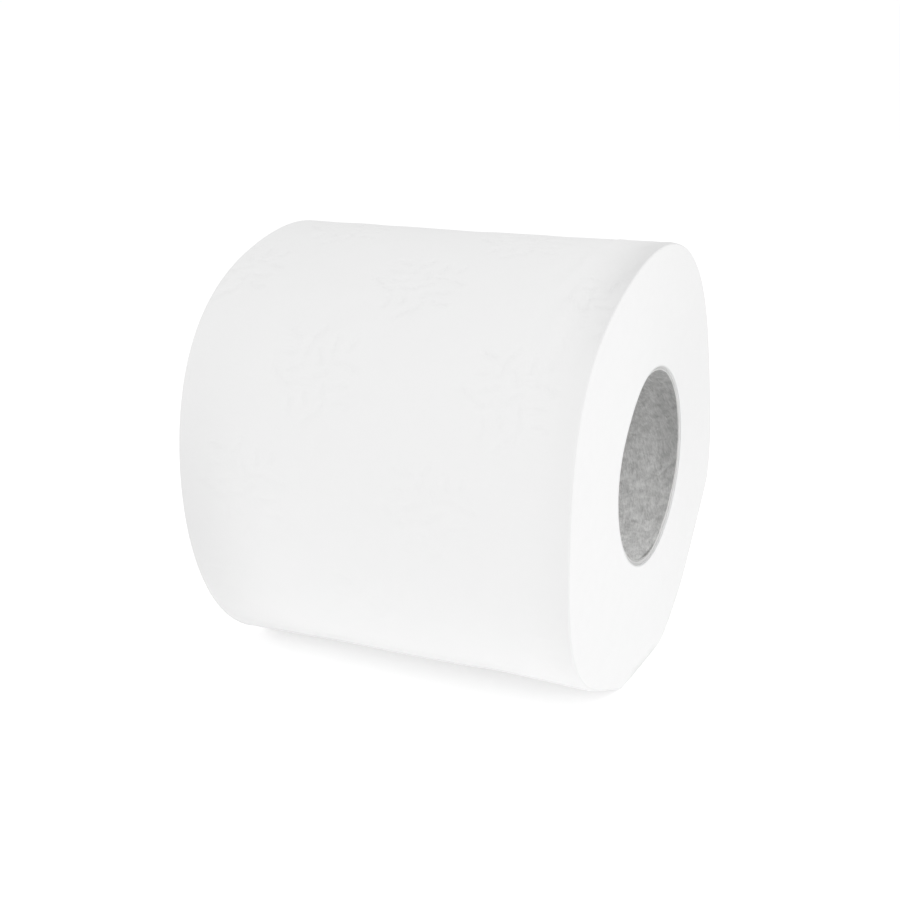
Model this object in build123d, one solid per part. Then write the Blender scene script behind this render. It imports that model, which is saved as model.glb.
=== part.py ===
"""Toilet paper roll lying on its side, resting on a small flat spot.

Two pieces: the wound tissue web, whose turns are one solid, and the spiral
wound cardboard core that it is glued to.

Frame: +X runs along the core's axis, +Z is up, and +Y completes the
right-handed set. The origin is the middle of the core's bore. Millimetres.
"""
import os
from math import cos, radians, sin

from build123d import *

# Driving dimensions
roll_width = 94.0  # width of the web, along the core
roll_radius = 51.9  # mean radius of the outermost turn
winding_offset = 1.5  # the turns are heaped this far off the core's axis, towards -Y
rim_rounding = 1.4  # soft edge where the outer turns meet each end face
rest_press = 0.5  # how deep the roll's own weight presses its lowest line flat

core_radius = 23.2  # outside of the cardboard core
core_wall = 0.8  # two plies of grey board
core_recess = 0.4  # each end of the core lies this far inside the tissue's end face

# The soft turns are out of round by three waves, each with its number of
# crests, its height in mm, and the direction of one crest in degrees,
# counted from +Y towards +Z.
oval_wave = (2, 0.75, -14.0)
three_sided_wave = (3, 0.50, -35.0)
square_wave = (4, 1.35, -36.0)

outline_step = 10  # degrees between the points that the outline passes through


def turn_radius(angle):
    """Radius of the outermost turn at an angle in degrees, about the winding's centre."""
    radius = roll_radius
    for crests, height, direction in (oval_wave, three_sided_wave, square_wave):
        radius += height * cos(crests * radians(angle - direction))
    return radius


def turn_point(angle):
    """Point (y, z) of the outermost turn at an angle in degrees, from the core's axis."""
    radius = turn_radius(angle)
    return (
        radius * cos(radians(angle)) - winding_offset,
        radius * sin(radians(angle)),
    )


def rest_level():
    """Height of the flat spot: the lowest point of the turns, pressed in."""
    lowest = min(turn_point(angle)[1] for angle in range(360))
    return lowest + rest_press


def make_section():
    """The winding's section, across the core: one smooth closed curve, filled."""
    points = [turn_point(angle) for angle in range(0, 360, outline_step)]
    end_plane = Plane(origin=(-roll_width / 2, 0, 0), x_dir=(0, 1, 0), z_dir=(1, 0, 0))
    return end_plane * make_face(Spline(*points, periodic=True))


def make_floor_block():
    """The space below the roll's resting level, wide of it on every side."""
    side = 4 * roll_radius + 2 * roll_width
    return Pos(0, 0, rest_level() - side / 2) * Box(side, side, side)


def make_tissue_winding():
    """The wound web: an out-of-round prism with soft rims, pressed flat below."""
    winding = extrude(make_section(), amount=roll_width, dir=(1, 0, 0))
    winding = fillet(winding.edges().filter_by(GeomType.BSPLINE), rim_rounding)
    bore = Rot(0, 90, 0) * Cylinder(core_radius, 2 * roll_width)
    return winding - bore - make_floor_block()


def make_cardboard_core():
    """The core: a plain round tube, glued into the winding's bore."""
    length = roll_width - 2 * core_recess
    tube = Cylinder(core_radius, length) - Cylinder(core_radius - core_wall, 2 * length)
    return Rot(0, 90, 0) * tube


parts = {
    "tissue_winding": make_tissue_winding(),
    "cardboard_core": make_cardboard_core(),
}

os.makedirs("parts", exist_ok=True)
for node, shape in parts.items():
    export_step(shape, "parts/" + node + ".step")

print("resting level, from the core's axis:", round(rest_level(), 3), "mm")
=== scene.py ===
"""Toilet paper roll: the looks of a soft embossed roll on its cardboard core.

Three kinds of piece stand here, each made by its own operator: the wound tissue,
the two plies of the spiral wound core, and the studio that they are seen in.
Shapes are surfaces worked out on grids with numpy, in metres, in the frame of the
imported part: +X along the core's axis, +Z up, the origin in the middle of the bore.
"""
import math

import bpy
import numpy as np
from bpy.props import FloatProperty, FloatVectorProperty, IntProperty, PointerProperty, StringProperty
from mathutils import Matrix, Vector


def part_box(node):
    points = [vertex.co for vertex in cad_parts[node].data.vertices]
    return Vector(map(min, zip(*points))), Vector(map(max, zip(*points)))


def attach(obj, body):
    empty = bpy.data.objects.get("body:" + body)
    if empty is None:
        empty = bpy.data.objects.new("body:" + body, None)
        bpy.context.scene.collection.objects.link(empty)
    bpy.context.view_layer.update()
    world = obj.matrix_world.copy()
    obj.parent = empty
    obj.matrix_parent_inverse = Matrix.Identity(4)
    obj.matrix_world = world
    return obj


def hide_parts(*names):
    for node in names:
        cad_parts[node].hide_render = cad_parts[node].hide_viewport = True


bl_info = {
    "name": "Toilet Paper Roll",
    "version": (1, 0, 0),
    "blender": (4, 5, 0),
    "location": "View3D > Sidebar > Paper Roll",
    "description": "Builds an embossed toilet paper roll on its cardboard core, with a plain studio",
    "category": "Add Mesh",
}

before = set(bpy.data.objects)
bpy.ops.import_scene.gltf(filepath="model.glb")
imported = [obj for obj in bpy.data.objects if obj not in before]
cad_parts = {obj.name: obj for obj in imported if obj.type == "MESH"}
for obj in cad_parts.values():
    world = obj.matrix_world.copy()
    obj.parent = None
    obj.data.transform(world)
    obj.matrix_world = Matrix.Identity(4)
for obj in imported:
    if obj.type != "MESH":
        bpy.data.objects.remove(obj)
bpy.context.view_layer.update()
WINDING_LOW, WINDING_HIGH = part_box("tissue_winding")
CORE_LOW, CORE_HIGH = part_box("cardboard_core")
MM = 0.001
GOLDEN_ANGLE = 2.399963
# The winding's bore is as wide as the core that fills it.
BORE = CORE_HIGH.z
# Grid rows round each soft rim, and from a rim in to the innermost turn, which starts at this share of
# the way to the bore.
RIM_ROWS = 6
FACE_ROWS = 10
INNERMOST_TURN = 0.984


# Sizes and colours that a user would change


class RollSettings(bpy.types.PropertyGroup):
    """The wound tissue: its size, its rims, its loose end and how fine its grid is."""

    width: FloatProperty(
        name="Width", description="Length of the roll along its core",
        default=WINDING_HIGH.x - WINDING_LOW.x, unit="LENGTH")
    radius: FloatProperty(
        name="Radius", description="Mean radius of the outermost turn", default=51.65 * MM, unit="LENGTH")
    offset: FloatProperty(
        name="Offset", description="How far the turns are heaped off the core's axis, towards -Y",
        default=1.5 * MM, unit="LENGTH")
    rim: FloatProperty(
        name="Rim rounding", description="Radius of the soft edge of the outer turns", default=0.45 * MM,
        unit="LENGTH")
    rest_level: FloatProperty(
        name="Rest level", description="Height of the flat spot below the core's axis",
        default=WINDING_LOW.z, unit="LENGTH")
    sheet: FloatProperty(
        name="Sheet thickness", description="Thickness of the web, which shows as the step at the tail",
        default=0.25 * MM, unit="LENGTH")
    tail_angle: FloatProperty(
        name="Tail", description="Where the web's loose end lies, from +Y towards +Z",
        default=math.radians(-68), subtype="ANGLE")
    overhang: FloatProperty(
        name="Overhang", description="How far the innermost turns stand in over the core at the near rim",
        default=1.2 * MM, unit="LENGTH")
    columns: IntProperty(name="Columns", description="Grid columns around the roll", default=520)
    rows: IntProperty(name="Rows", description="Grid rows along the roll", default=146)


class EmbossSettings(bpy.types.PropertyGroup):
    """The embossed posies: where they stand on the web and how deep they are pressed."""

    spacing: FloatProperty(
        name="Spacing", description="From one posy to the next along the roll", default=45.5 * MM,
        unit="LENGTH")
    row_step: FloatProperty(
        name="Row step", description="From one row of posies to the next around the roll",
        default=26.5 * MM, unit="LENGTH")
    row_slip: FloatProperty(
        name="Row slip", description="How far each row is moved along the roll from the last",
        default=-15.5 * MM, unit="LENGTH")
    first_angle: FloatProperty(
        name="First row", description="Angle of one row of posies, from +Y towards +Z",
        default=math.radians(150), subtype="ANGLE")
    first_place: FloatProperty(
        name="First posy", description="Place of one posy of that row, along the roll", default=-14.5 * MM,
        unit="LENGTH")
    line: FloatProperty(
        name="Line width", description="Half width of a pressed line", default=0.55 * MM, unit="LENGTH")
    depth: FloatProperty(
        name="Depth", description="How deep the lines are pressed in", default=0.34 * MM, unit="LENGTH")


class CoreSettings(bpy.types.PropertyGroup):
    """The cardboard core: its size, its plies, their seam and the swollen lip of the inner one."""

    radius: FloatProperty(
        name="Radius", description="Outside radius of the core", default=CORE_HIGH.z, unit="LENGTH")
    length: FloatProperty(
        name="Length", description="Length of the core", default=CORE_HIGH.x - CORE_LOW.x, unit="LENGTH")
    ply: FloatProperty(
        name="Ply thickness", description="Thickness of each of the two plies of board",
        default=0.4 * MM, unit="LENGTH")
    seam_lead: FloatProperty(
        name="Seam lead", description="How far the spiral seam travels along the core in one turn",
        default=112 * MM, unit="LENGTH")
    lip_lift: FloatProperty(
        name="Lip lift", description="How far the rim of the inner ply has swollen inwards, low towards +Y",
        default=0.9 * MM, unit="LENGTH")


class FinishSettings(bpy.types.PropertyGroup):
    """Colours of the paper and the board, as sRGB hex."""

    tissue: StringProperty(name="Tissue", description="Bleached tissue, sRGB hex", default="EBEBEB")
    edges: StringProperty(
        name="Turn edges", description="Slit edges of the turns, sRGB hex", default="F5F5F5")
    board: StringProperty(name="Board", description="Grey recycled board, sRGB hex", default="F8F8F7")
    board_dark: StringProperty(
        name="Board flecks", description="Dark fibres in the board, sRGB hex", default="B6B6B5")
    board_edge: StringProperty(
        name="Board edge", description="The board's cut edge, sRGB hex", default="DEDEDD")


class StudioSettings(bpy.types.PropertyGroup):
    """The plain studio: floor, soft lights and camera."""

    floor: StringProperty(name="Floor", description="Floor colour, sRGB hex", default="FDFDFD")
    camera_place: FloatVectorProperty(
        name="Camera place", description="Where the camera stands, from the middle of the core's bore",
        default=(148.4 * MM, -330.0 * MM, 106.1 * MM), subtype="TRANSLATION")
    camera_turn: FloatProperty(
        name="Camera turn", description="Turn of the view from +Y towards -X", default=math.radians(24.83),
        subtype="ANGLE")
    camera_dip: FloatProperty(
        name="Camera dip", description="How far the view looks down", default=math.radians(16.63),
        subtype="ANGLE")
    lens: FloatProperty(
        name="Lens", description="Focal length in millimetres on a 36 mm sensor", default=62.0)


# Shapes


def soft_waves(along, around, wavelength, seed, count=14):
    """Smooth unevenness between about -1 and 1.

    The sum of a few plane waves whose lengths spread about the given one, whose
    directions turn by the golden angle and whose phases come from a seed.
    """
    random = np.random.default_rng(seed)
    total = np.zeros(np.broadcast(along, around).shape)
    for index in range(count):
        direction = index * GOLDEN_ANGLE + random.uniform(0, 0.5)
        length = wavelength * 2 ** random.uniform(-0.6, 0.6)
        phase = random.uniform(0, 2 * math.pi)
        distance = along * math.cos(direction) + around * math.sin(direction)
        total += np.sin(2 * math.pi / length * distance + phase)
    return total / math.sqrt(count)


def smooth_step(value, start, end):
    """0 below start, 1 above end, and an s-shaped cubic between them."""
    share = np.clip((value - start) / (end - start), 0, 1)
    return share * share * (3 - 2 * share)


def grid_object(name, points, tiles, materials, tile_material, painted_shade=None):
    """Makes a ring-shaped closed surface from a grid of points.

    points is rows by columns by 3, and both ways round it closes on itself. tiles
    gives each corner's place on the unrolled paper: an array of rows + 1 by
    columns + 1 by 2. tile_material names the material of each row of faces, and
    the painted shade, where it is given, says how much darker the colour is painted
    at each point, standing in for shade.
    """
    rows, columns = points.shape[:2]
    row = np.arange(rows)[:, None]
    column = np.arange(columns)[None, :]
    next_row = (row + 1) % rows
    next_column = (column + 1) % columns
    corners = np.stack(np.broadcast_arrays(
        row * columns + column, next_row * columns + column,
        next_row * columns + next_column, row * columns + next_column), axis=-1)
    tile_corners = np.stack([tiles[:-1, :-1], tiles[1:, :-1], tiles[1:, 1:], tiles[:-1, 1:]], axis=2)
    faces = corners.reshape(-1, 4)
    flat_points = points.reshape(-1, 3)
    if signed_volume(flat_points, faces) < 0:
        faces = faces[:, ::-1]
        tile_corners = tile_corners[:, :, ::-1]

    mesh = bpy.data.meshes.new(name)
    mesh.vertices.add(len(flat_points))
    mesh.vertices.foreach_set("co", flat_points.astype(np.float32).ravel())
    mesh.loops.add(faces.size)
    mesh.loops.foreach_set("vertex_index", faces.astype(np.int32).ravel())
    mesh.polygons.add(len(faces))
    mesh.polygons.foreach_set("loop_start", np.arange(0, faces.size, 4, dtype=np.int32))
    mesh.polygons.foreach_set("loop_total", np.full(len(faces), 4, dtype=np.int32))
    mesh.polygons.foreach_set("material_index", np.repeat(tile_material, columns).astype(np.int32))
    mesh.polygons.foreach_set("use_smooth", np.ones(len(faces), dtype=bool))
    mesh.update(calc_edges=True)
    unrolled = mesh.uv_layers.new(name="unrolled")
    unrolled.data.foreach_set("uv", tile_corners.reshape(-1, 2).astype(np.float32).ravel())
    # The painted shade goes on the mesh as a point attribute that the materials read.
    if painted_shade is not None:
        attribute = mesh.attributes.new("painted_shade", "FLOAT", "POINT")
        attribute.data.foreach_set("value", painted_shade.astype(np.float32).ravel())
    mesh.validate()

    made = bpy.data.objects.new(name, mesh)
    bpy.context.scene.collection.objects.link(made)
    for material in materials:
        mesh.materials.append(material)
    return made


def signed_volume(points, faces):
    """Sum over the faces of a sixth of the box product of their corners, each face as two triangles."""
    a, b, c, d = (points[faces[:, index]] for index in range(4))
    halves = np.einsum("ij,ij->i", a, np.cross(b, c)) + np.einsum("ij,ij->i", a, np.cross(c, d))
    return halves.sum() / 6


# Each wave: how many crests it has round the roll, its height in millimetres and the direction of one
# crest in degrees. One with no crests swells the whole turn, and one with one crest moves it to that side.
FAR_END_WAVES = (
    (1, 0.20, 200), (2, 0.95, -11), (3, 0.55, -10), (4, 0.80, -36), (5, 0.40, 13), (6, 0.30, 13))
NEAR_END_WAVES = (
    (0, 0.25, 0), (1, 0.35, 227), (2, 1.20, 15), (3, 0.70, -35), (4, 1.00, -33), (5, 0.85, -11),
    (6, 0.60, -24))
# Each swelling of the near end: its middle and its spread in degrees, and its height in millimetres.
NEAR_END_SWELLS = ((216, 15, 0.8), (253, 7, 0.7), (293, 12, 0.9))
FLAT_SIDE_DIRECTION = -42
FLAT_SIDE_DISTANCE = 50.1 * MM


def wave_sum(waves, angle):
    """Sum of cosine waves round the roll, in metres."""
    return sum(
        height * MM * np.cos(count * (angle - math.radians(crest))) for count, height, crest in waves)


def angle_from(angle, direction):
    """Angle from a direction, which is given in degrees, the short way round."""
    return (angle - math.radians(direction) + math.pi) % (2 * math.pi) - math.pi


def bell(distance, spread):
    """A bell curve of a distance: 1 at none and 0.37 at one spread."""
    return np.exp(-(distance / spread) ** 2)


def bell_round(angle, middle, spread):
    """A bell curve round the roll, whose middle and spread are in degrees."""
    return bell(angle_from(angle, middle), math.radians(spread))


def pressed_flat(radius, angle, direction, distance):
    """The smaller of a radius and that of a flat side, with soft corners where they meet.

    The flat side's radius is its distance over the cosine of the angle from its
    direction, which is in degrees; the cosine is taken as a half at least.
    """
    flat = distance / np.maximum(np.cos(angle_from(angle, direction)), 0.5)
    soft = 0.9 * MM
    return 0.5 * (radius + flat - np.sqrt((radius - flat) ** 2 + soft ** 2))


def turn_radius(roll, x, angle):
    """Mean radius plus a soft squash, which goes in even shares from the far end's to the near end's.

    Both ends have waves. The near end also swells a little beside the spot that it
    rests on, and has a flat side low towards +Y, as if pressed by the next roll of
    the pack.
    """
    share = np.clip(0.5 + x / roll.width, 0, 1)
    far_end = roll.radius + wave_sum(FAR_END_WAVES, angle)
    swell = sum(
        height * MM * bell_round(angle, middle, spread) for middle, spread, height in NEAR_END_SWELLS)
    near_end = roll.radius + wave_sum(NEAR_END_WAVES, angle) + swell
    near_end = pressed_flat(near_end, angle, FLAT_SIDE_DIRECTION, FLAT_SIDE_DISTANCE)
    return (1 - share) * far_end + share * near_end


def posy_height(x, y, line):
    """Relief of one posy about its middle, from 0 to 1: leaves strewn as seeds are in a flower head.

    Each leaf is turned by the golden angle from the last and lies further out, by
    the root of its number. By turns it leans to one side and to the other, and every
    third is short. The relief is a bell curve of the distance from the nearest leaf.
    """
    leaves = 21
    seed_step = 2.35 * MM
    distance = np.full(np.broadcast(x, y).shape, 1.0)
    for leaf in range(leaves):
        direction = leaf * GOLDEN_ANGLE
        reach = seed_step * math.sqrt(leaf + 0.5)
        lean = direction + (0.7 if leaf % 2 else -0.5)
        half = (1.6 if leaf % 3 else 1.0) * MM
        from_x = x - reach * math.cos(direction)
        from_y = y - reach * math.sin(direction)
        along = from_x * math.cos(lean) + from_y * math.sin(lean)
        across = -from_x * math.sin(lean) + from_y * math.cos(lean)
        distance = np.minimum(distance, np.hypot(along - np.clip(along, -half, half), across))
    return bell(distance, line)


def emboss_height(emboss, x, around):
    """Relief of the web at each place: posies on a skewed lattice.

    Rows of posies stand one row step apart around the roll, each moved along the
    roll by the slip, and within a row they stand one spacing apart.
    """
    nearest = np.round(around / emboss.row_step)
    relief = 0
    for row in (nearest, nearest - 1, nearest + 1):
        from_row = around - row * emboss.row_step
        along = x - emboss.first_place - row * emboss.row_slip
        from_posy = along - np.round(along / emboss.spacing) * emboss.spacing
        relief = np.maximum(relief, posy_height(from_posy, from_row, emboss.line))
    return relief


def winding_columns(roll):
    """Angles of the grid columns: even steps from the tail round to it, and a narrow one across it."""
    tail_step = 0.12 * MM / roll.radius
    return roll.tail_angle + np.linspace(tail_step, 2 * math.pi - tail_step, roll.columns)


def winding_profile(roll):
    """Rows of the winding's grid, once round its section along the core.

    Gives for each row its place along the core, how far it is from the outermost
    turn, and how far it has gone from the outermost turn (0) to the bore (1). The
    rows run along the side, round the near rim, down the near face, back through
    the bore, up the far face and round the far rim.
    """
    half = roll.width / 2
    straight = half - roll.rim
    side = np.linspace(-straight, straight, roll.rows)
    corner = np.linspace(0, math.pi / 2, RIM_ROWS + 1)[1:]
    depth = roll.rim * (1 - np.cos(corner))
    rim_x = straight + roll.rim * np.sin(corner)
    inward = np.append(np.linspace(0, 1, FACE_ROWS + 2)[1:-1], (INNERMOST_TURN, 1.0))
    face_x = np.full(inward.shape, half)
    # Just behind the near face the overhanging turns end, and the bore is as wide as the core.
    behind_face = [half - 0.38 * MM]
    place = np.concatenate([side, rim_x, face_x, behind_face, -face_x[::-1], -rim_x[::-1]])
    inner_drop = np.full(2 * len(inward) + len(behind_face), roll.rim)
    drop = np.concatenate([0 * side, depth, inner_drop, depth[::-1]])
    share = np.concatenate([0 * side, 0 * corner, inward, [1.0], inward[::-1], 0 * corner])
    return place, drop, share


def winding_points(roll, emboss):
    """Grid of the wound tissue, and the unrolled place of each of its corners.

    A row's outermost turn is the out-of-round radius, plus a spiral that gains one
    sheet from the tail once round to it, soft waves, the crumpled patch and the
    tail's lift, less the relief. The relief fades low towards -Y, where it was
    pressed out. Rows on the end faces shrink from that turn to the round bore in
    even shares, and at the near face the innermost ones stand in over the core. What
    would lie below the rest level is eased up to it.
    """
    angle = winding_columns(roll)[None, :]
    place, drop, share = winding_profile(roll)
    x, drop, share = place[:, None], drop[:, None], share[:, None]
    half = roll.width / 2
    turned = (angle - roll.tail_angle) / (2 * math.pi)
    around = angle * roll.radius
    spiral = roll.sheet * (turned - 0.5)
    broad_sag = 0.16 * MM * soft_waves(x, around, wavelength=46 * MM, seed=3)
    fine_sag = 0.05 * MM * soft_waves(x, around, wavelength=13 * MM, seed=7)
    relief = emboss_height(emboss, x, around - emboss.first_angle * roll.radius)
    relief = relief * (1 - 0.85 * bell_round(angle, middle=225, spread=55))
    at_side = 1 - smooth_step(np.abs(x), start=half - 2.5 * roll.rim, end=half - 0.3 * roll.rim)
    uneven = at_side * (broad_sag + fine_sag - emboss.depth * relief)
    uneven = uneven + rim_crumple(roll, x, angle) + tail_lift(roll, x, turned)
    radius = turn_radius(roll, x, angle) + spiral + uneven - drop
    turn_y = radius * np.cos(angle) - roll.offset
    turn_z = ease_up(radius * np.sin(angle), roll.rest_level)
    innermost = (x > half - 1e-9) * smooth_step(share, start=0.88, end=1.0)
    bore_edge = BORE - roll.overhang * bell_round(angle, middle=137, spread=28) * innermost
    y = turn_y + share * (bore_edge * np.cos(angle) - turn_y)
    z = turn_z + share * (bore_edge * np.sin(angle) - turn_z)
    x = x + np.sign(x) * face_unevenness(angle, share)
    points = np.stack(np.broadcast_arrays(x, y, z), axis=-1)
    return points, unrolled_corners(roll, angle, place, share[:, 0])


def rim_crumple(roll, x, angle):
    """A shallow hollow just inside the near rim, high towards -Y, with creases along the rim.

    The hollow is the product of a bell curve along the roll and one round it. The
    creases are soft waves 4.5 mm wide and four times as long, and fade away from
    the rim.
    """
    half = roll.width / 2
    patch = bell_round(angle, middle=106, spread=32)
    hollow = 0.35 * MM * patch * bell(x - half + 4.0 * MM, spread=3.5 * MM)
    creases = 0.34 * MM * patch * soft_waves(x, 0.25 * angle * roll.radius, wavelength=4.5 * MM, seed=41)
    from_inside = smooth_step(x, start=half - 24 * MM, end=half - 7 * MM)
    to_rim = smooth_step(-x, start=-half, end=-half + 1.5 * MM)
    return from_inside * to_rim * (creases - hollow)


def web_painted_shade(roll, x, angle, share):
    """Painted shade: how much darker the paper's colour is painted at each point.

    On the web there is a bell curve of painted shade at each slit edge, and more in
    the crumpled patch, as the shade that its creases would hold. On the end faces the
    turns are painted darker on the side towards +Y, and the innermost one is painted
    darker as the shade in the recess by the core.
    """
    half = roll.width / 2
    far_edge = 0.095 * bell_round(angle, middle=203, spread=40) * bell(x + half, spread=13 * MM)
    near_edge = 0.025 * bell(x - half, spread=6 * MM)
    crumpled = 0.115 * bell_round(angle, middle=98, spread=30) * bell(x - half, spread=6 * MM)
    one_side = 0.045 * bell_round(angle, middle=35, spread=75)
    innermost = 0.16 * smooth_step(share, start=INNERMOST_TURN, end=1.0)
    on_end_face = np.abs(x) > half - 0.5 * roll.rim
    return np.where(on_end_face, one_side + innermost, far_edge + near_edge + crumpled)


def tail_lift(roll, x, turned):
    """The loose end of the web stands a little proud over its last few millimetres, unevenly."""
    from_end = (1 - turned) * 2 * math.pi * roll.radius
    uneven = 0.6 + 0.4 * soft_waves(x, 0 * x, wavelength=17 * MM, seed=21, count=6)
    return 0.10 * MM * np.exp(-from_end / (2.2 * MM)) * uneven


def ease_up(height, level):
    """Height where it is well above the level, and just above the level where it would be below."""
    soft = 0.35 * MM
    above = height - level
    return level + 0.5 * (above + np.sqrt(above * above + soft * soft))


def face_unevenness(angle, share):
    """How far the slit edges of the turns stand in or out of the end face: slightly uneven rings."""
    layer = share * 28.0 * MM
    rings = 0.035 * MM * soft_waves(layer, 0 * angle, wavelength=3.5 * MM, seed=31, count=8)
    drift = 0.05 * MM * soft_waves(layer, angle * 18 * MM, wavelength=26 * MM, seed=37, count=8)
    inside = smooth_step(share, start=0.0, end=0.12)
    return inside * (rings + drift - 0.06 * MM)


def closed_corners(arc, run):
    """Unrolled place of each corner of a grid, from the places of its columns and of its rows."""
    corners = np.empty((len(run), len(arc), 2))
    corners[:, :, 0] = arc[None, :]
    corners[:, :, 1] = run[:, None]
    return corners


def unrolled_corners(roll, angle, place, share):
    """Unrolled place of each corner: arc round the roll, and distance along the profile, in metres."""
    arc = angle[0] * roll.radius
    arc = np.append(arc, arc[0] + 2 * math.pi * roll.radius)
    run = place + np.sign(place) * share * (roll.radius - BORE)
    return closed_corners(arc, np.append(run, run[0]))


# Materials


def linear_colour(text):
    """Linear colour, with alpha 1, of an sRGB hex value."""
    shares = [int(text[index:index + 2], 16) / 255 for index in (0, 2, 4)]
    return tuple(s / 12.92 if s <= 0.04045 else ((s + 0.055) / 1.055) ** 2.4 for s in shares) + (1.0,)


def darkened(text, factor):
    """Linear colour, with alpha 1, of an sRGB hex value, its three shares times a factor."""
    return tuple(factor * share for share in linear_colour(text)[:3]) + (1.0,)


def add_node(tree, kind, settings=None, inputs=None, links=None):
    """Adds a node with its settings and input values, and links named inputs to output sockets."""
    node = tree.nodes.new(kind)
    for name, value in (settings or {}).items():
        setattr(node, name, value)
    for name, value in (inputs or {}).items():
        node.inputs[name].default_value = value
    for name, socket in (links or {}).items():
        tree.links.new(socket, node.inputs[name])
    return node


def new_material(name):
    """An empty node material with its output node."""
    material = bpy.data.materials.new(name)
    material.use_nodes = True
    material.node_tree.nodes.clear()
    output = add_node(material.node_tree, "ShaderNodeOutputMaterial")
    return material, material.node_tree, output


def with_painted_shade(tree, colour):
    """Paints shade into a colour: mixes it with black by the piece's painted shade, and gives the new
    colour's socket.
    """
    grey = add_node(tree, "ShaderNodeAttribute", {"attribute_name": "painted_shade"})
    shaded = add_node(
        tree, "ShaderNodeMix", {"data_type": "RGBA"}, inputs={"B": (0, 0, 0, 1)},
        links={"Factor": grey.outputs["Fac"], "A": colour})
    return shaded.outputs["Result"]


def bleached_tissue(finish):
    """Bleached creped tissue, dry, matte and faintly downy: fine crepe ridges cross the web."""
    material, tree, output = new_material("bleached_creped_tissue")
    place = add_node(tree, "ShaderNodeUVMap", {"uv_map": "unrolled"})
    # Crepe ridges 0.9 mm apart round the roll and about 6 mm long across the web.
    crepe_place = add_node(
        tree, "ShaderNodeMapping", inputs={"Scale": (1 / (0.9 * MM), 1 / (6 * MM), 1)},
        links={"Vector": place.outputs["UV"]})
    crepe = add_node(
        tree, "ShaderNodeTexNoise", inputs={"Scale": 1.0, "Detail": 3.0, "Roughness": 0.6},
        links={"Vector": crepe_place.outputs["Vector"]})
    # Clouding of the fibres, 6 mm across.
    cloud_place = add_node(
        tree, "ShaderNodeMapping", inputs={"Scale": (1 / (6 * MM),) * 3},
        links={"Vector": place.outputs["UV"]})
    cloud = add_node(
        tree, "ShaderNodeTexNoise", inputs={"Scale": 1.0, "Detail": 4.0, "Roughness": 0.55},
        links={"Vector": cloud_place.outputs["Vector"]})
    tone = add_node(
        tree, "ShaderNodeMix", {"data_type": "RGBA"},
        inputs={"A": darkened(finish.tissue, 0.985), "B": linear_colour(finish.tissue)},
        links={"Factor": cloud.outputs["Fac"]})
    # Painted shade: the web is painted a little darker towards its slit edges and in the crumpled patch.
    shaded = with_painted_shade(tree, tone.outputs["Result"])
    bump = add_node(
        tree, "ShaderNodeBump", inputs={"Strength": 0.35, "Distance": 0.06 * MM},
        links={"Height": crepe.outputs["Fac"]})
    shader = add_node(
        tree, "ShaderNodeBsdfPrincipled",
        inputs={
            "Roughness": 0.92, "IOR": 1.45, "Specular IOR Level": 0.25,
            "Sheen Weight": 0.12, "Sheen Roughness": 0.6},
        links={"Base Color": shaded, "Normal": bump.outputs["Normal"]})
    tree.links.new(shader.outputs["BSDF"], output.inputs["Surface"])
    return material


def slit_turn_edges(finish):
    """The slit edges of the turns: lint-soft and matte, with close rings that follow the turns."""
    material, tree, output = new_material("slit_tissue_edges")
    place = add_node(tree, "ShaderNodeUVMap", {"uv_map": "unrolled"})
    # One ring to each 0.5 mm of depth, twice the real turn, so that it shows, and broken every 40 mm.
    ring_place = add_node(
        tree, "ShaderNodeMapping", inputs={"Scale": (1 / (40 * MM), 1 / (0.5 * MM), 1)},
        links={"Vector": place.outputs["UV"]})
    rings = add_node(
        tree, "ShaderNodeTexNoise", inputs={"Scale": 1.0, "Detail": 2.0, "Roughness": 0.5},
        links={"Vector": ring_place.outputs["Vector"]})
    # Lint and uneven slitting, 3 mm across.
    lint_place = add_node(tree, "ShaderNodeTexCoord")
    lint = add_node(
        tree, "ShaderNodeTexNoise", inputs={"Scale": 1 / (3 * MM), "Detail": 5.0, "Roughness": 0.65},
        links={"Vector": lint_place.outputs["Object"]})
    tone = add_node(
        tree, "ShaderNodeMix", {"data_type": "RGBA"},
        inputs={"A": darkened(finish.edges, 0.965), "B": linear_colour(finish.edges)},
        links={"Factor": lint.outputs["Fac"]})
    height = add_node(
        tree, "ShaderNodeMix", {"data_type": "FLOAT"}, inputs={"Factor": 0.45},
        links={"A": rings.outputs["Fac"], "B": lint.outputs["Fac"]})
    bump = add_node(
        tree, "ShaderNodeBump", inputs={"Strength": 0.35, "Distance": 0.10 * MM},
        links={"Height": height.outputs["Result"]})
    # The end faces get painted shade: darker on the side towards +Y and on the innermost turn.
    shader = add_node(
        tree, "ShaderNodeBsdfPrincipled",
        inputs={
            "Roughness": 0.95, "IOR": 1.45, "Specular IOR Level": 0.2,
            "Sheen Weight": 0.15, "Sheen Roughness": 0.6},
        links={"Base Color": with_painted_shade(tree, tone.outputs["Result"]), "Normal": bump.outputs["Normal"]})
    tree.links.new(shader.outputs["BSDF"], output.inputs["Surface"])
    return material


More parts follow.
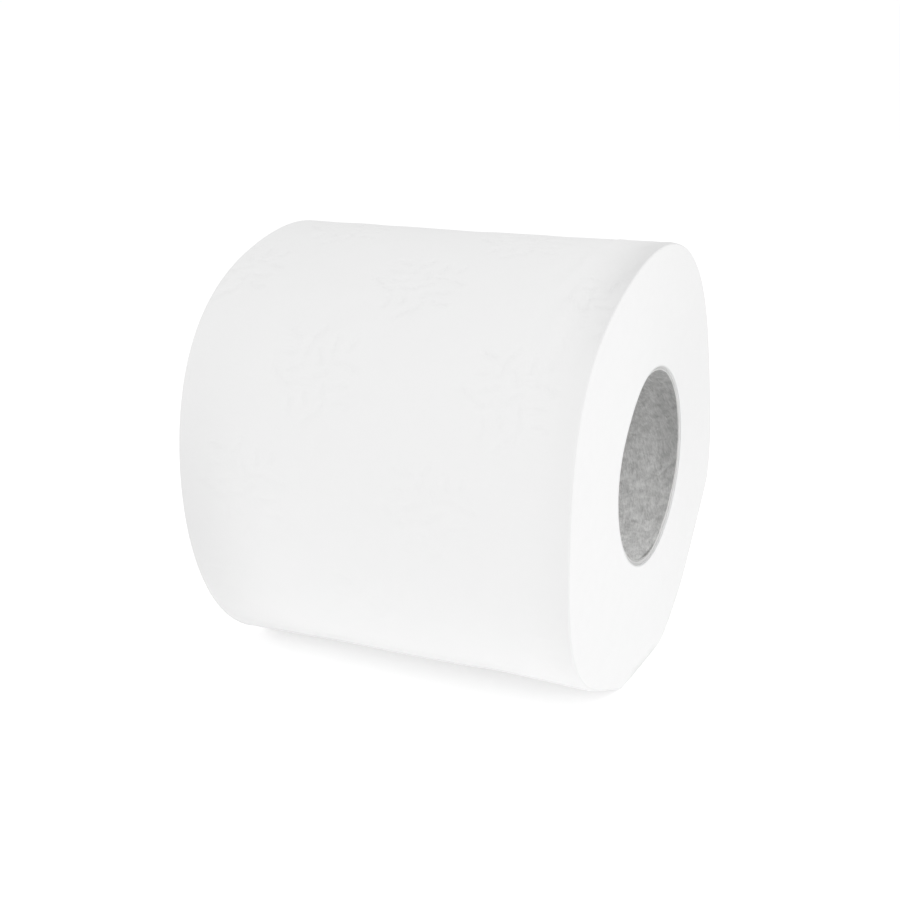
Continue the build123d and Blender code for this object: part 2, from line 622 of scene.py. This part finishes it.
def grey_board(finish):
    """Raw recycled board: grey, matte and mottled, with dark fibres that lie along its winding."""
    material, tree, output = new_material("grey_recycled_board")
    place = add_node(tree, "ShaderNodeUVMap", {"uv_map": "unrolled"})
    # Blotches of darker stock, about 2 mm across.
    blotch = add_node(
        tree, "ShaderNodeTexNoise",
        inputs={"Scale": 1 / (2.2 * MM), "Detail": 6.0, "Roughness": 0.68, "Distortion": 0.5},
        links={"Vector": place.outputs["UV"]})
    # Fibres 0.4 mm thick and about 1.5 mm long, which lie at 20 degrees to the core's rim.
    fibre_place = add_node(
        tree, "ShaderNodeMapping", {"vector_type": "TEXTURE"},
        inputs={"Rotation": (0, 0, math.radians(-20)), "Scale": (1.5 * MM, 0.4 * MM, 1)},
        links={"Vector": place.outputs["UV"]})
    fibre = add_node(
        tree, "ShaderNodeTexNoise",
        inputs={"Scale": 1.0, "Detail": 4.0, "Roughness": 0.7, "Distortion": 0.5},
        links={"Vector": fibre_place.outputs["Vector"]})
    mix = add_node(
        tree, "ShaderNodeMix", {"data_type": "FLOAT"}, inputs={"Factor": 0.48},
        links={"A": blotch.outputs["Fac"], "B": fibre.outputs["Fac"]})
    spread = add_node(
        tree, "ShaderNodeMapRange", inputs={"From Min": 0.33, "From Max": 0.61},
        links={"Value": mix.outputs["Result"]})
    tone = add_node(
        tree, "ShaderNodeMix", {"data_type": "RGBA"},
        inputs={"A": linear_colour(finish.board_dark), "B": linear_colour(finish.board)},
        links={"Factor": spread.outputs["Result"]})
    bump = add_node(
        tree, "ShaderNodeBump", inputs={"Strength": 0.4, "Distance": 0.05 * MM},
        links={"Height": fibre.outputs["Fac"]})
    # The board gets painted shade: darker along one side of the bore, close to the near rim and in the
    # slit.
    shader = add_node(
        tree, "ShaderNodeBsdfPrincipled",
        inputs={"Roughness": 0.88, "IOR": 1.45, "Specular IOR Level": 0.3},
        links={"Base Color": with_painted_shade(tree, tone.outputs["Result"]), "Normal": bump.outputs["Normal"]})
    tree.links.new(shader.outputs["BSDF"], output.inputs["Surface"])
    return material


def cut_board_edge(finish):
    """The board's cut edge: matte and clouded by torn fibres."""
    material, tree, output = new_material("cut_board_edge")
    place = add_node(tree, "ShaderNodeTexCoord")
    # Torn fibres, 1.6 mm across.
    fibre = add_node(
        tree, "ShaderNodeTexNoise", inputs={"Scale": 1 / (1.6 * MM), "Detail": 4.0, "Roughness": 0.6},
        links={"Vector": place.outputs["Object"]})
    tone = add_node(
        tree, "ShaderNodeMix", {"data_type": "RGBA"},
        inputs={"A": darkened(finish.board_edge, 0.82), "B": linear_colour(finish.board_edge)},
        links={"Factor": fibre.outputs["Fac"]})
    bump = add_node(
        tree, "ShaderNodeBump", inputs={"Strength": 0.4, "Distance": 0.06 * MM},
        links={"Height": fibre.outputs["Fac"]})
    shader = add_node(
        tree, "ShaderNodeBsdfPrincipled",
        inputs={"Roughness": 0.9, "IOR": 1.45, "Specular IOR Level": 0.25},
        links={"Base Color": tone.outputs["Result"], "Normal": bump.outputs["Normal"]})
    tree.links.new(shader.outputs["BSDF"], output.inputs["Surface"])
    return material


def studio_floor(studio):
    """Matte white seamless paper, faintly uneven in tone and a little lit from behind."""
    material, tree, output = new_material("white_seamless_paper")
    place = add_node(tree, "ShaderNodeTexCoord")
    # Clouding a third of a metre across.
    cloud = add_node(
        tree, "ShaderNodeTexNoise", inputs={"Scale": 3.0, "Detail": 2.0},
        links={"Vector": place.outputs["Object"]})
    tone = add_node(
        tree, "ShaderNodeMix", {"data_type": "RGBA"},
        inputs={"A": darkened(studio.floor, 0.995), "B": linear_colour(studio.floor)},
        links={"Factor": cloud.outputs["Fac"]})
    shader = add_node(
        tree, "ShaderNodeBsdfPrincipled",
        inputs={
            "Roughness": 1.0, "Specular IOR Level": 0.0,
            "Emission Color": (1, 1, 1, 1), "Emission Strength": 0.28},
        links={"Base Color": tone.outputs["Result"]})
    tree.links.new(shader.outputs["BSDF"], output.inputs["Surface"])
    return material


# Operators


class PAPERROLL_OT_wound_tissue(bpy.types.Operator):
    """Make the wound tissue, with its soft rims, embossing and loose tail"""

    bl_idname = "paper_roll.wound_tissue"
    bl_label = "Wound Tissue"

    def execute(self, context):
        settings = context.scene.paper_roll
        roll = settings.roll
        points, corners = winding_points(roll, settings.emboss)
        place, _, share = winding_profile(roll)
        # Shade painted into the paper's colour at each point.
        painted_shade = web_painted_shade(roll, place[:, None], winding_columns(roll)[None, :], share[:, None])
        # The side and the rims show the web, but the step of each rim by its end face shows slit edges.
        row_material = np.ones(len(points), dtype=np.int32)
        row_material[:roll.rows + RIM_ROWS - 2] = 0
        row_material[1 - RIM_ROWS:] = 0
        materials = [bleached_tissue(settings.finish), slit_turn_edges(settings.finish)]
        tissue = grid_object("wound_tissue", points, corners, materials, row_material, painted_shade)
        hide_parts("tissue_winding")
        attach(tissue, "root")
        return {"FINISHED"}


def core_ply_points(core, outer, thickness, shape):
    """Grid of one ply of the core, a thin tube closed through its wall, with its corners and materials.

    The rows run along the inside, round the near edge, back along the outside and
    round the far edge. What shape(core, x, angle, share) gives is added to the
    radius, where share goes from 0 inside the ply to 1 outside it.
    """
    columns = 360
    angle = np.linspace(0, 2 * math.pi, columns + 1)[None, :-1]
    half = core.length / 2
    # Inside, the rows stand closer together near the rim, where the lip and the slit are.
    close_from = half - 4 * MM
    inside = np.concatenate([np.linspace(-half, close_from, 96)[:-1], np.linspace(close_from, half, 23)])
    outside = np.linspace(half, -half, 40)
    in_wall = np.linspace(0, 1, 4)[1:-1]
    place = np.concatenate([inside, half + 0 * in_wall, outside, -half + 0 * in_wall])
    share = np.concatenate([0 * inside, in_wall, 0 * outside + 1, in_wall[::-1]])
    x, share = place[:, None], share[:, None]
    radius = outer - thickness * (1 - share) + shape(core, x, angle, share)
    cut = 0.05 * MM * soft_waves(angle * core.radius, share * MM, wavelength=9 * MM, seed=51, count=8)
    x = x + np.where(np.abs(x) > half - 1e-9, np.sign(x) * (cut - 0.05 * MM), 0)
    points = np.stack(np.broadcast_arrays(x, radius * np.cos(angle), radius * np.sin(angle)), axis=-1)
    arc = np.append(angle[0], 2 * math.pi) * core.radius
    run = np.cumsum(np.abs(np.diff(place, prepend=place[0]))) + place[0]
    corners = closed_corners(arc, np.append(run, run[-1] + thickness))
    first_outside = len(inside) + len(in_wall)
    row_material = np.ones(len(place), dtype=np.int32)
    row_material[:len(inside) - 1] = 0
    row_material[first_outside:first_outside + len(outside) - 1] = 0
    return points, corners, row_material


def spiral_seam(core, x, angle):
    """Depth of the butt seam between turns of the inner strip: a groove along a helix."""
    turn = angle_from(angle - 2 * math.pi * x / core.seam_lead, 200)
    lean = math.hypot(1, 2 * math.pi * core.radius / core.seam_lead)
    return bell(turn * core.radius / lean, spread=0.45 * MM)


def rim_slit(core, x, angle):
    """Depth of the slit where the strip's pointed end has come unglued.

    It leaves the near rim at -74 degrees and goes 0.035 mm further in with each
    degree towards -Y.
    """
    middle = core.length / 2 - 0.3 * MM + 0.035 * MM * np.degrees(angle_from(angle, -74))
    return bell_round(angle, middle=-84, spread=11) * bell(x - middle, spread=0.3 * MM)


def outer_ply_shape(core, x, angle, share):
    """The outer ply is a true tube: nothing is added to its radius."""
    return 0 * x * angle


def inner_ply_shape(core, x, angle, share):
    """The inner ply is a little uneven, and its inside has the seam, the slit and the swollen lip."""
    near_end = np.exp(-(core.length / 2 - x) / (4 * MM))
    lip = core.lip_lift * bell_round(angle, middle=-48, spread=30) * near_end * (1 - share)
    uneven = 0.05 * MM * soft_waves(x, angle * core.radius, wavelength=24 * MM, seed=61)
    grooves = 0.22 * MM * spiral_seam(core, x, angle) + 0.25 * MM * rim_slit(core, x, angle)
    return grooves * (1 - share) - lip - np.abs(uneven)


def board_painted_shade(core, x, angle):
    """Painted shade: how much darker the board is painted, along one side of the bore, close to the near
    rim and in the slit.
    """
    one_side = 0.32 * bell_round(angle, middle=62, spread=72)
    near_rim = 0.30 * bell_round(angle, middle=-5, spread=60) * bell(x - core.length / 2, spread=6 * MM)
    return one_side + near_rim + 0.5 * rim_slit(core, x, angle)


class PAPERROLL_OT_cardboard_core(bpy.types.Operator):
    """Make the two plies of the cardboard core, with their spiral seam, slit and swollen lip"""

    bl_idname = "paper_roll.cardboard_core"
    bl_label = "Cardboard Core"

    def execute(self, context):
        settings = context.scene.paper_roll
        core = settings.core
        materials = [grey_board(settings.finish), cut_board_edge(settings.finish)]
        # The plies stay this far from each other and from the tissue.
        gap = 0.02 * MM
        for name, outer, shape in (
                ("core_outer_ply", core.radius - gap, outer_ply_shape),
                ("core_inner_ply", core.radius - core.ply - gap, inner_ply_shape)):
            points, corners, row_material = core_ply_points(core, outer, core.ply - gap, shape)
            point_angle = np.arctan2(points[:, :, 2], points[:, :, 1])
            # Shade painted into the board's colour at each point.
            painted_shade = board_painted_shade(core, points[:, :, 0], point_angle)
            ply = grid_object(name, points, corners, materials, row_material, painted_shade)
            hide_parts("cardboard_core")
            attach(ply, "root")
        return {"FINISHED"}


class PAPERROLL_OT_studio(bpy.types.Operator):
    """Make the plain floor, the soft lights and the camera"""

    bl_idname = "paper_roll.studio"
    bl_label = "Studio"

    def execute(self, context):
        settings = context.scene.paper_roll
        scene = context.scene
        scene.view_settings.view_transform = "Standard"
        make_floor(settings)
        make_lights(scene)
        make_camera(scene, settings.studio)
        return {"FINISHED"}


def make_floor(settings):
    """A wide flat sheet that the roll rests on."""
    reach = 60.0  # metres, so that its rim lies beyond the view
    level = settings.roll.rest_level
    mesh = bpy.data.meshes.new("studio_floor")
    mesh.from_pydata(
        [(-reach, -reach, level), (reach, -reach, level), (reach, reach, level), (-reach, reach, level)],
        [], [(0, 1, 2, 3)])
    mesh.materials.append(studio_floor(settings.studio))
    floor = bpy.data.objects.new("studio_floor", mesh)
    bpy.context.scene.collection.objects.link(floor)


def make_lights(scene):
    """An even white surround, and large soft boxes that look at the roll."""
    world = bpy.data.worlds.new("studio_surround")
    world.use_nodes = True
    world.node_tree.nodes["Background"].inputs["Color"].default_value = (1, 1, 1, 1)
    world.node_tree.nodes["Background"].inputs["Strength"].default_value = 0.75
    scene.world = world
    # Each box: its name, its place and its width in metres, and its power in watts.
    for name, place, size, power in (
            ("key_soft_box", (0.35, -0.35, 0.6), 0.3, 0.8),
            ("fill_soft_box", (-1.3, -0.6, 0.5), 1.0, 1.4),
            ("top_soft_box", (0.08, -0.08, 0.45), 0.25, 0.25)):
        lamp = bpy.data.lights.new(name, "AREA")
        lamp.size = size
        lamp.energy = power
        box = bpy.data.objects.new(name, lamp)
        box.location = place
        box.rotation_euler = (Vector((0, 0, 0)) - Vector(place)).to_track_quat("-Z", "Y").to_euler()
        scene.collection.objects.link(box)


def make_camera(scene, studio):
    """The camera, level across and dipped to look down on the roll."""
    eye = bpy.data.cameras.new("camera")
    eye.lens = studio.lens
    eye.sensor_width = 36.0
    eye.clip_start = 0.01
    camera = bpy.data.objects.new("camera", eye)
    camera.location = studio.camera_place
    camera.rotation_euler = (math.pi / 2 - studio.camera_dip, 0, studio.camera_turn)
    scene.collection.objects.link(camera)
    scene.camera = camera


class PAPERROLL_PT_panel(bpy.types.Panel):
    """Lists the pieces of the roll and the studio"""

    bl_label = "Paper Roll"
    bl_idname = "PAPERROLL_PT_panel"
    bl_space_type = "VIEW_3D"
    bl_region_type = "UI"
    bl_category = "Paper Roll"

    def draw(self, context):
        for operator in PIECE_OPERATORS:
            self.layout.operator(operator.bl_idname)


class PaperRollSettings(bpy.types.PropertyGroup):
    """All settings of the paper roll."""

    roll: PointerProperty(type=RollSettings)
    emboss: PointerProperty(type=EmbossSettings)
    core: PointerProperty(type=CoreSettings)
    finish: PointerProperty(type=FinishSettings)
    studio: PointerProperty(type=StudioSettings)


PIECE_OPERATORS = (PAPERROLL_OT_wound_tissue, PAPERROLL_OT_cardboard_core, PAPERROLL_OT_studio)
SETTINGS = (RollSettings, EmbossSettings, CoreSettings, FinishSettings, StudioSettings, PaperRollSettings)
CLASSES = SETTINGS + PIECE_OPERATORS + (PAPERROLL_PT_panel,)


def register():
    for cls in CLASSES:
        bpy.utils.register_class(cls)
    bpy.types.Scene.paper_roll = PointerProperty(type=PaperRollSettings)


def unregister():
    del bpy.types.Scene.paper_roll
    for cls in reversed(CLASSES):
        bpy.utils.unregister_class(cls)


def main():
    """Registers the add-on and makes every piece."""
    register()
    bpy.ops.paper_roll.wound_tissue()
    bpy.ops.paper_roll.cardboard_core()
    bpy.ops.paper_roll.studio()


if __name__ == "__main__":
    main()
